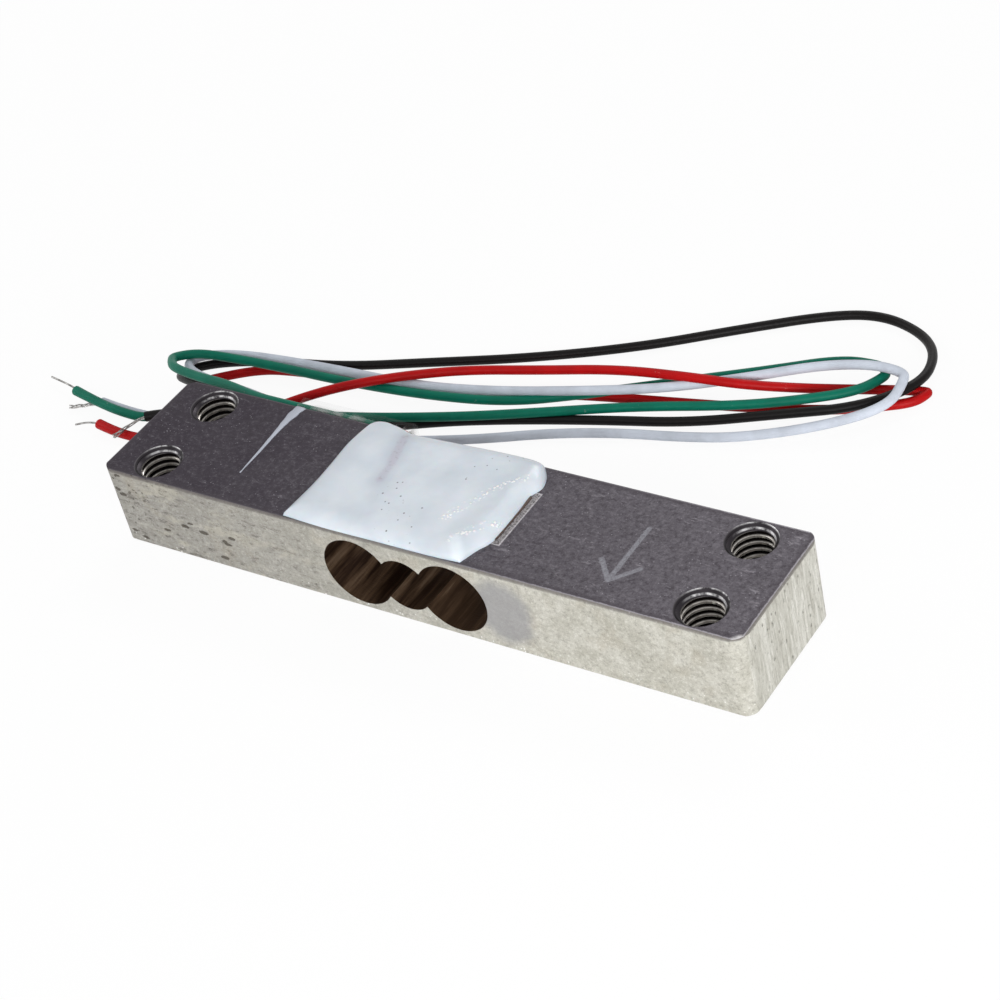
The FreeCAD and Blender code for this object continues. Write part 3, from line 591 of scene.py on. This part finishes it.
def bore_finish():
    """Bored walls, brown with cutting fluid baked on, in streaks from face to face."""
    finish = Finish("bored_walls", metallic=0.7)
    streaks = finish.clouds(0.0007, detail=5.0, roughness=0.65, place=finish.stretched(1.0, 0.08, 1.0))
    rings = finish.clouds(0.00012, detail=3.0, place=finish.stretched(0.2, 1.0, 0.2))
    loaded = finish.between(finish.axes()[0], -0.001, 0.003)
    finish.colour = finish.mix(finish.between(streaks, 0.36, 0.66),
                               (0.030, 0.013, 0.007), (0.20, 0.125, 0.075))
    finish.paint(loaded * 0.35, (0.17, 0.105, 0.062))
    finish.paint(finish.between(streaks, 0.56, 0.70) * (0.25 + 0.6 * loaded), (0.52, 0.42, 0.31))
    return finish.done(0.26 + 0.2 * rings + 0.1 * streaks, finish.bump(rings + streaks, 0.00002))


def thread_finish():
    """Freshly cut thread: bright crests and dark roots, and a countersink painted dark as painted
    shade, with painted highlights and painted shade on its rim.
    """
    finish = Finish("cut_thread", metallic=0.85)
    x, y, z = finish.axes()
    from_x, from_y = abs(x) - HOLE_X, y - HOLE_Y * y.maths("SIGN")
    radius = span(from_x, from_y)
    grime = finish.clouds(0.0004, roughness=0.6)
    root = finish.between(radius, TAP_RADIUS + 0.00001, TAP_RADIUS + 0.00012)
    inside = finish.between(abs(z - HEIGHT / 2), HEIGHT / 2 - 0.00036, HEIGHT / 2 - 0.00046)
    finish.colour = finish.mix(finish.between(grime, 0.4, 0.7), (0.66, 0.63, 0.59), (0.40, 0.37, 0.34))
    finish.paint(root * inside, (0.018, 0.013, 0.012))
    # the countersink is painted dark as painted shade, with painted highlights in arcs on its back side
    # and painted shade on the near side of its lip
    lip = finish.between(radius, RIM_RADIUS - 0.00009, RIM_RADIUS - 0.00001)
    far_side = finish.between(from_y / radius, 0.05, 0.75)
    highlight_ring = finish.between(abs(radius - TAP_RADIUS - 0.00013), 0.00007, 0.00002)
    finish.paint(1 - inside, (0.030, 0.026, 0.030))
    highlight_arcs = lip.maths("MAXIMUM", highlight_ring * (1 - inside))
    finish.paint(highlight_arcs * far_side * finish.between(grime, 0.3, 0.65) * 0.75, (0.80, 0.79, 0.80))
    finish.paint(lip * (1 - far_side) * 0.6, (0.16, 0.15, 0.16))
    return finish.done(0.22 + 0.2 * grime, finish.bump(grime, 0.00001))


def finished(shell, name):
    """A closed bmesh as a linked piece, smooth all over."""
    bmesh.ops.recalc_face_normals(shell, faces=shell.faces)
    mesh = bpy.data.meshes.new(name)
    shell.to_mesh(mesh)
    shell.free()
    for face in mesh.polygons:
        face.use_smooth = True
    return linked(name, mesh)


def rounded_prism(name, radius):
    """A prism of the bar's outline with rounded corners, a little taller than the bar."""
    proud = 0.001
    shell = bmesh.new()
    outline = []
    for quarter, (way_x, way_y) in enumerate(((1, 1), (-1, 1), (-1, -1), (1, -1))):
        for step in range(round(90 / CORNER_STEP_DEG) + 1):
            turn = math.radians(90 * quarter + CORNER_STEP_DEG * step)
            outline.append(shell.verts.new((way_x * (LENGTH / 2 - radius) + radius * math.cos(turn),
                                            way_y * (WIDTH / 2 - radius) + radius * math.sin(turn),
                                            -proud)))
    foot = shell.faces.new(outline)
    raised = bmesh.ops.extrude_face_region(shell, geom=[foot])["geom"]
    tops = [vert for vert in raised if isinstance(vert, bmesh.types.BMVert)]
    bmesh.ops.translate(shell, verts=tops, vec=(0.0, 0.0, HEIGHT + 2 * proud))
    return finished(shell, name)


def hole_distance(place):
    return math.hypot(abs(place.x) - HOLE_X, abs(place.y) - HOLE_Y)


def build_bar():
    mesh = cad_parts["beam"].data.copy()
    mesh.name = "bar"
    shell = bmesh.new()
    shell.from_mesh(mesh)
    bmesh.ops.remove_doubles(shell, verts=shell.verts, dist=1e-7)
    bmesh.ops.dissolve_limit(shell, angle_limit=0.001, verts=shell.verts, edges=shell.edges)
    shell.to_mesh(mesh)
    shell.free()
    bar = linked("bar", mesh)
    outline = rounded_prism("corner_cutter", CORNER_RADIUS)
    rounding = bar.modifiers.new("rounding", "BOOLEAN")
    rounding.operation = "INTERSECT"
    rounding.solver = "EXACT"
    rounding.object = outline

    centres = bpy.data.meshes.new("thread_centres")
    start_z = -2 * THREAD_PITCH
    centres.from_pydata([(x, y, start_z) for x in (-HOLE_X, HOLE_X) for y in (-HOLE_Y, HOLE_Y)], [], [])
    cutter = thread_recipe().made_from(
        linked("thread_centres", centres), "thread_cutter", pitch=THREAD_PITCH, radius=THREAD_RADIUS,
        depth=THREAD_RADIUS - TAP_RADIUS, height=HEIGHT + 4 * THREAD_PITCH)
    tapping = bar.modifiers.new("tapping", "BOOLEAN")
    tapping.operation = "DIFFERENCE"
    tapping.solver = "EXACT"
    tapping.use_self = True
    tapping.object = cutter
    threaded = plain_mesh(bar, "bar")
    for tool in (cutter, outline):
        bpy.data.objects.remove(tool)

    threaded.materials.clear()
    for finish in (side_finish(), top_finish(), end_finish(), bore_finish(), thread_finish()):
        threaded.materials.append(finish)
    side, top, end, bore, thread = range(5)
    shell = bmesh.new()
    shell.from_mesh(threaded)
    bmesh.ops.remove_doubles(shell, verts=shell.verts, dist=1e-8)
    for face in shell.faces:
        centre, normal = face.calc_center_median(), face.normal
        flat_top = abs(normal.z) > 0.9 and abs(centre.z - HEIGHT / 2) > HEIGHT / 2 - 1e-5
        if not flat_top and hole_distance(centre) < RIM_RADIUS and abs(normal.y) < 0.999:
            face.material_index = thread
        elif flat_top:
            face.material_index = top
        elif abs(normal.x) > 0.9 and abs(centre.x) > LENGTH / 2 - 1e-4:
            face.material_index = end
        elif abs(normal.y) < 0.1 and abs(centre.x) < BORE_X + BORE_RADIUS + 1e-4:
            face.material_index = bore
        else:
            face.material_index = side
        face.smooth = True
    for edge in shell.edges:
        flats = [max(abs(part) for part in face.normal) > 0.99999 for face in edge.link_faces]
        edge.smooth = (len(edge.link_faces) == 2 and flats[0] == flats[1]
                       and edge.calc_face_angle(0.0) < math.radians(28))
    shell.to_mesh(threaded)
    shell.free()
    return linked("bar", threaded)


bar = build_bar()
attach(bar, "root")
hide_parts("beam")

# ---------------------------------------------------------------- strain gauge
# Amber polyimide film with its etched foil and solder joints, almost all of it under the
# silicone. Only the film's end shows, as a dark brown strip.


def film_finish():
    finish = Finish("polyimide_film", coat_weight=0.4)
    fibre = finish.clouds(0.0003, place=finish.stretched(1.0, 0.2, 1.0))
    finish.colour = finish.mix(fibre, (0.030, 0.012, 0.006), (0.075, 0.030, 0.014))
    return finish.done(0.3 + 0.2 * fibre)


def foil_finish():
    finish = Finish("constantan_foil", metallic=1.0)
    rolled = finish.clouds(0.0004, place=finish.stretched(0.15, 1.0, 1.0))
    finish.colour = finish.mix(rolled, (0.40, 0.30, 0.18), (0.55, 0.44, 0.30))
    return finish.done(0.3 + 0.2 * rolled)


def solder_finish():
    finish = Finish("tin_solder", metallic=1.0)
    frost = finish.clouds(0.00012)
    finish.colour = finish.mix(frost, (0.55, 0.55, 0.56), (0.72, 0.72, 0.73))
    return finish.done(0.2 + 0.3 * frost, finish.bump(frost, 0.00001))


for node, finish in (("gauge_film", film_finish()), ("gauge_foil", foil_finish()),
                     ("solder_joints", solder_finish())):
    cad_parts[node].material_slots[0].material = finish

# ---------------------------------------------------------------- white silicone
# A spread pad of white silicone, dragged out to a point at its front corner. It swells over
# the leads at the back, laps over the bar's edge there, and a crease runs forward from them.
PAD_FRONT = [(-0.00860, -0.00467), (-0.0055, -0.00478), (-0.0015, -0.00474), (0.0025, -0.00470),
             (0.00458, -0.00458)]
PAD_RIGHT = [(0.00458, -0.00458), (0.00500, -0.00335), (0.00548, -0.00215), (0.00550, 0.0006),
             (0.00544, 0.0020), (0.00573, 0.00296), (0.00545, 0.0039), (0.0049, 0.00466)]
PAD_BACK = [(-0.00808, 0.0045), (-0.00802, 0.00495), (-0.00775, 0.0053), (-0.0072, 0.00545),
            (-0.0066, 0.00535), (-0.0059, 0.00502), (-0.0053, 0.0048), (-0.0046, 0.00475),
            (-0.0030, 0.00480), (0.0005, 0.00496), (0.0038, 0.0050), (0.0049, 0.00466)]
PAD_LEFT = [(-0.00860, -0.00467), (-0.00848, -0.0020), (-0.00850, 0.0), (-0.00858, 0.0021),
            (-0.00842, 0.00375), (-0.00808, 0.0045)]


def along(points, share):
    """A place part-way along a chain of points, by length, on a smooth curve through them."""
    places = [Vector((*point, 0.0)) for point in points]
    runs = [(b - a).length for a, b in zip(places, places[1:])]
    left = share * sum(runs)
    for number, run in enumerate(runs):
        if left <= run or number == len(runs) - 1:
            break
        left -= run
    t = min(1.0, left / run)
    a = places[max(0, number - 1)]
    b, c = places[number], places[number + 1]
    d = places[min(len(places) - 1, number + 2)]
    return 0.5 * ((2 * b) + (c - a) * t + (2 * a - 5 * b + 4 * c - d) * t * t
                  + (3 * b - a - 3 * c + d) * t * t * t)


def swell(x, y, at_x, at_y, wide, long, turn=0.0):
    """A soft round hill of height 1, wide across and long up and down, turned."""
    across = (x - at_x) * math.cos(turn) + (y - at_y) * math.sin(turn)
    ahead = (y - at_y) * math.cos(turn) - (x - at_x) * math.sin(turn)
    return math.exp(-(across / wide) ** 2 - (ahead / long) ** 2)


def ease(value, low, high):
    """0 below low, 1 above high and smooth between; high may be the smaller one."""
    share = max(0.0, min(1.0, (value - low) / (high - low)))
    return share * share * (3 - 2 * share)


def crease_x(y):
    """Where the crease to the right of the leads lies, in mm."""
    return max(-5.80, -4.18 - 0.085 * (y - 0.5) ** 2)


def pad_height(x, y, rim):
    """Height above the bar, in mm, at a place in mm, with rim its distance from the edge."""
    body = 0.60 + 0.08 * swell(x, y, -1.0, 0.0, 5.0, 3.0)
    body += 0.06 * swell(x, y, 3.9, -1.6, 0.8, 2.6, -0.30)
    body -= 0.06 * swell(x, y, 2.7, -2.0, 0.8, 2.4, -0.30)
    body += 0.07 * swell(x, y, 4.3, 2.4, 1.1, 1.6)
    body += 0.05 * noise.noise(Vector((x * 0.5, y * 0.5, 3.1)))
    body += 0.015 * noise.noise(Vector((x * 2.1, y * 2.1, 7.7)))
    # the lead roots lie under the left part, from the solder joints to the back edge, and it
    # drops from them into the crease
    crease = crease_x(y)
    over_leads = ease(x, crease + 1.0, crease - 0.42) * ease(y, -3.4, -1.6)
    body -= 0.08 * ease(y, -2.2, 1.0) * swell(x, 0.0, crease + 0.8, 0.0, 0.9, 1.0)
    fold = 0.60 - 0.17 * ease(y, 1.8, 4.6) + 0.06 * swell(x, y, -6.6, 2.0, 1.2, 3.0, 0.12)
    body += over_leads * (fold - body)
    lift = min(1.0, rim / (1.25 + 0.35 * over_leads))
    return body * (1 - (1 - lift) ** 2.2) ** 0.62


# how far the pad's underside is sunk into the top face, and how far it laps down over the edge
PAD_SUNK, PAD_LAP = 0.00002, 0.0005


def build_pad():
    across, up = 96, 72
    shell = bmesh.new()
    grid = []
    for j in range(up + 1):
        v = j / up
        left, right = along(PAD_LEFT, v), along(PAD_RIGHT, v)
        row = []
        for i in range(across + 1):
            u = i / across
            front, back = along(PAD_FRONT, u), along(PAD_BACK, u)
            corners = ((1 - u) * (1 - v) * Vector((*PAD_FRONT[0], 0))
                       + u * (1 - v) * Vector((*PAD_FRONT[-1], 0))
                       + (1 - u) * v * Vector((*PAD_BACK[0], 0)) + u * v * Vector((*PAD_BACK[-1], 0)))
            place = (1 - v) * front + v * back + (1 - u) * left + u * right - corners
            rim = min((place - front).length, (place - back).length,
                      (place - left).length, (place - right).length)
            x, y = place.x * 1000, place.y * 1000
            droop = max(0.0, place.y - WIDTH / 2)
            place.z = HEIGHT + pad_height(x, y, rim * 1000) / 1000 - 0.6 * droop * (rim < 0.0004)
            row.append(shell.verts.new(place))
        grid.append(row)
    for lower, upper in zip(grid, grid[1:]):
        for a, b, c, d in zip(lower, lower[1:], upper[1:], upper):
            shell.faces.new((a, b, c, d))
    border = (grid[0] + [row[-1] for row in grid[1:]]
              + grid[-1][-2::-1] + [row[0] for row in grid[-2:0:-1]])
    under = []
    for vert in border:
        foot = vert.co.copy()
        foot.z = HEIGHT - (PAD_LAP if foot.y > WIDTH / 2 + 0.00005 else PAD_SUNK)
        under.append(shell.verts.new(foot))
    for n in range(len(border)):
        m = (n + 1) % len(border)
        shell.faces.new((border[n], under[n], under[m], border[m]))
    shell.faces.new(under[::-1])
    return finished(shell, "silicone_pad")


def silicone_finish():
    """Glossy bluish white rubber with crumbs, dust and rows of tiny bubbles in its skin, with painted
    shade in its crease and painted highlights on the bubbles and the front corner.
    """
    finish = Finish("white_silicone", coat_weight=0.45, coat_roughness=0.14,
                    subsurface_weight=0.2, subsurface_scale=0.0005)
    x, y, _ = finish.axes()
    milky = finish.clouds(0.003, detail=3.0)
    skin = finish.clouds(0.00025, detail=3.0, roughness=0.6)
    finish.colour = finish.mix(finish.between(milky, 0.3, 0.7),
                               (0.60, 0.66, 0.725), (0.70, 0.75, 0.805))
    # painted shade in and beside the crease
    crease = stroke(x, y, (-0.0051, 0.0041), (-0.0043, 0.0013))
    crease = crease.maths("MINIMUM", stroke(x, y, (-0.0043, 0.0013), (-0.0041, -0.0002)))
    finish.paint(finish.between(crease, 0.0011, 0.0001) * 0.42, (0.44, 0.48, 0.56))
    crease_shade = finish.between(crease + 0.0004 * (milky - 0.5), 0.00042, 0.00005)
    finish.paint(crease_shade * 0.35, (0.44, 0.38, 0.48))
    finish.paint(crease_shade * finish.between(skin, 0.54, 0.62) * 0.3, (0.30, 0.27, 0.33))

    # dark crumbs, most of them in the middle and a few at the back
    middle = finish.between(stroke(x, y, (-0.0020, -0.0010), (-0.0003, -0.0040)), 0.0022, 0.0004)
    far = finish.between(stroke(x, y, (0.0012, 0.0022), (0.0030, 0.0042)), 0.0011, 0.0004)
    crowd = 0.05 + 0.95 * middle + 0.6 * far
    crumbs = finish.between(finish.cells(0.00055) + 0.12 * (skin - 0.5), 0.15, 0.09)
    crumbs = crumbs * finish.between(crowd * finish.clouds(0.0009, detail=2.0), 0.15, 0.27)
    finish.paint(crumbs * 0.8, (0.10, 0.095, 0.12))
    dust = finish.between(finish.cells(0.00030), 0.12, 0.07) * finish.between(milky, 0.48, 0.58)
    finish.paint(dust * crowd * 0.3, (0.33, 0.32, 0.36))

    # rows of tiny bubbles along the right edge, painted white as painted sparkling highlights, and a
    # painted highlight on the front corner
    lines = (((0.0019, -0.0019), (0.0033, 0.0012)), ((0.0033, 0.0012), (0.0047, 0.0029)),
             ((0.0033, -0.0035), (0.0051, -0.0012)))
    row = stroke(x, y, *lines[0])
    for line in lines[1:]:
        row = row.maths("MINIMUM", stroke(x, y, *line))
    bubbles_and_sparkles = finish.between(finish.cells(0.00022), 0.52, 0.26)
    bubbles_and_sparkles = bubbles_and_sparkles * finish.between(row + 0.0005 * (skin - 0.5), 0.00038, 0.00010)
    corner = finish.between(stroke(x, y, (0.0036, -0.0034), (0.0043, -0.0043)), 0.0006, 0.0001)
    finish.paint(bubbles_and_sparkles, (1.0, 1.0, 1.0))
    finish.paint(corner * 0.6, (0.86, 0.92, 0.98))
    return finish.done(0.34 + 0.12 * skin - 0.15 * bubbles_and_sparkles, finish.bump(skin + 3.0 * bubbles_and_sparkles, 0.00001))


pad = build_pad()
pad.data.materials.append(silicone_finish())
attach(pad, "root")
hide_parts("silicone_cover")

# ---------------------------------------------------------------- clear glue
# A bead of clear glue holds the leads to the back face, and a smear of it was drawn across
# the top and dried white.


def glue_finish():
    finish = Finish("clear_glue", coat_weight=0.6, coat_roughness=0.08, ior=1.45)
    cloudy = finish.clouds(0.0012)
    finish.colour = finish.mix(cloudy, (0.20, 0.19, 0.18), (0.50, 0.50, 0.50))
    _, y, z = finish.axes()
    skin = finish.between(y, 0.0055, 0.0050) * finish.between(z, HEIGHT - 0.0005, HEIGHT - 0.0001)
    finish.set("Alpha", 0.04 + 0.45 * skin * finish.between(cloudy, 0.40, 0.62))
    return finish.done(0.12 + 0.2 * cloudy, finish.bump(cloudy, 0.00008))


def dried_finish():
    finish = Finish("dried_glue", coat_weight=0.2)
    drag = finish.clouds(0.0004, place=finish.stretched(1.0, 0.15, 1.0))
    finish.colour = finish.mix(drag, (0.34, 0.36, 0.42), (0.52, 0.55, 0.63))
    return finish.done(0.4 + 0.2 * drag, finish.bump(drag, 0.00003))


# the smear's middle line and half-width at a few places from the bead to its far end
SMEAR = [(0.00478, -0.01405, 0.00040), (0.0041, -0.01417, 0.00038), (0.0030, -0.01418, 0.00023),
         (0.0015, -0.01410, 0.00014), (0.0, -0.01400, 0.00011), (-0.0014, -0.01396, 0.00006),
         (-0.0019, -0.01393, 0.00004), (-0.00208, -0.01392, 0.00006), (-0.00217, -0.01392, 0.00001)]
SMEAR_HEIGHT = 0.00007


def build_smear():
    """A drawn-out domed ribbon, thinner where it is narrower."""
    across, steps = 8, 6
    shell = bmesh.new()
    rows = []
    for (y, middle, half), (next_y, next_middle, next_half) in zip(SMEAR, SMEAR[1:]):
        for step in range(steps):
            share = step / steps
            row_y = y + share * (next_y - y)
            row_middle = middle + share * (next_middle - middle)
            row_half = half + share * (next_half - half)
            row_half *= 1 + 0.18 * noise.noise(Vector((0.0, row_y * 2200, 1.0)))
            thick = SMEAR_HEIGHT * min(1.0, row_half / 0.0002)
            row = []
            for n in range(across + 1):
                side = 2 * n / across - 1
                lift = thick * math.sqrt(max(0.0, 1 - side * side))
                row.append(shell.verts.new((row_middle + side * row_half, row_y, HEIGHT + lift)))
            rows.append(row)
    for upper, lower in zip(rows, rows[1:]):
        for a, b, c, d in zip(upper, upper[1:], lower[1:], lower):
            shell.faces.new((a, b, c, d))
        shell.faces.new((upper[-1], upper[0], lower[0], lower[-1]))
    for row in (rows[0], rows[-1]):
        shell.faces.new(row)
    return finished(shell, "glue_smear")


smear = build_smear()
smear.data.materials.append(dried_finish())
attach(smear, "root")
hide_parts("glue_streak")
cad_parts["wire_glue"].material_slots[0].material = glue_finish()

# ---------------------------------------------------------------- studio
# A pale floor under the object, just below its lowest point, with wide soft lamps and an even
# sky. Floor and sky glow white for the camera and in reflections.
FLOOR_REACH, FLOOR_Z = 3.0, -0.00002
CORNERS = [(x * FLOOR_REACH, y * FLOOR_REACH, 0) for x, y in ((-1, -1), (1, -1), (1, 1), (-1, 1))]
floor_mesh = bpy.data.meshes.new("floor")
floor_mesh.from_pydata(CORNERS, [], [(0, 1, 2, 3)])
floor = linked("floor", floor_mesh)
floor.location.z = FLOOR_Z


def plain_white(tree, shown, output, share):
    """Blends a plain white glow over what is shown, for the camera and in reflections."""
    graph = Graph(tree)
    rays = tree.nodes.new("ShaderNodeLightPath").outputs
    seen = Number(graph, rays["Is Camera Ray"])
    for word in ("Is Glossy Ray", "Is Transmission Ray"):
        seen = seen.maths("MAXIMUM", Number(graph, rays[word]))
    kind = "ShaderNodeBackground" if "Background" in tree.nodes else "ShaderNodeEmission"
    glow = graph.node(kind, {"Strength": 1.0})
    blend = graph.node("ShaderNodeMixShader", {0: seen * share, 1: Number(graph, shown), 2: glow})
    tree.links.new(blend.socket, output.inputs["Surface"])


paper = Finish("white_floor", roughness=0.9, specular_ior_level=0.1)
paper.set("Base Color", (0.95, 0.95, 0.95, 1))
plain_white(paper.tree, paper.shader.outputs[0], paper.tree.nodes["Material Output"], 0.93)
floor.data.materials.append(paper.material)

world = bpy.data.worlds.new("studio")
bpy.context.scene.world = world
world.use_nodes = True
nodes = world.node_tree.nodes
nodes["Background"].inputs["Color"].default_value = (1.0, 1.0, 1.0, 1)
nodes["Background"].inputs["Strength"].default_value = 0.45
plain_white(world.node_tree, nodes["Background"].outputs[0], nodes["World Output"], 1.0)


def softbox(name, place, size, power):
    """A rectangular lamp that looks at the middle of the bar."""
    lamp = linked(name, bpy.data.lights.new(name, "AREA"))
    lamp.data.shape = "RECTANGLE"
    lamp.data.size, lamp.data.size_y = size
    lamp.data.energy = power
    lamp.location = place
    aim = Vector((0.0, 0.0, 0.003)) - Vector(place)
    lamp.rotation_euler = aim.to_track_quat("-Z", "Y").to_euler()


softbox("near_softbox", (0.15, -0.12, 0.07), (0.08, 0.06), 0.23)
softbox("front_softbox", (0.10, -0.42, 0.25), (0.35, 0.25), 0.6)
softbox("left_softbox", (-0.45, -0.10, 0.30), (0.25, 0.25), 0.4)
softbox("back_softbox", (-0.05, 0.40, 0.35), (0.30, 0.12), 0.6)

bpy.context.scene.view_settings.view_transform = "Standard"
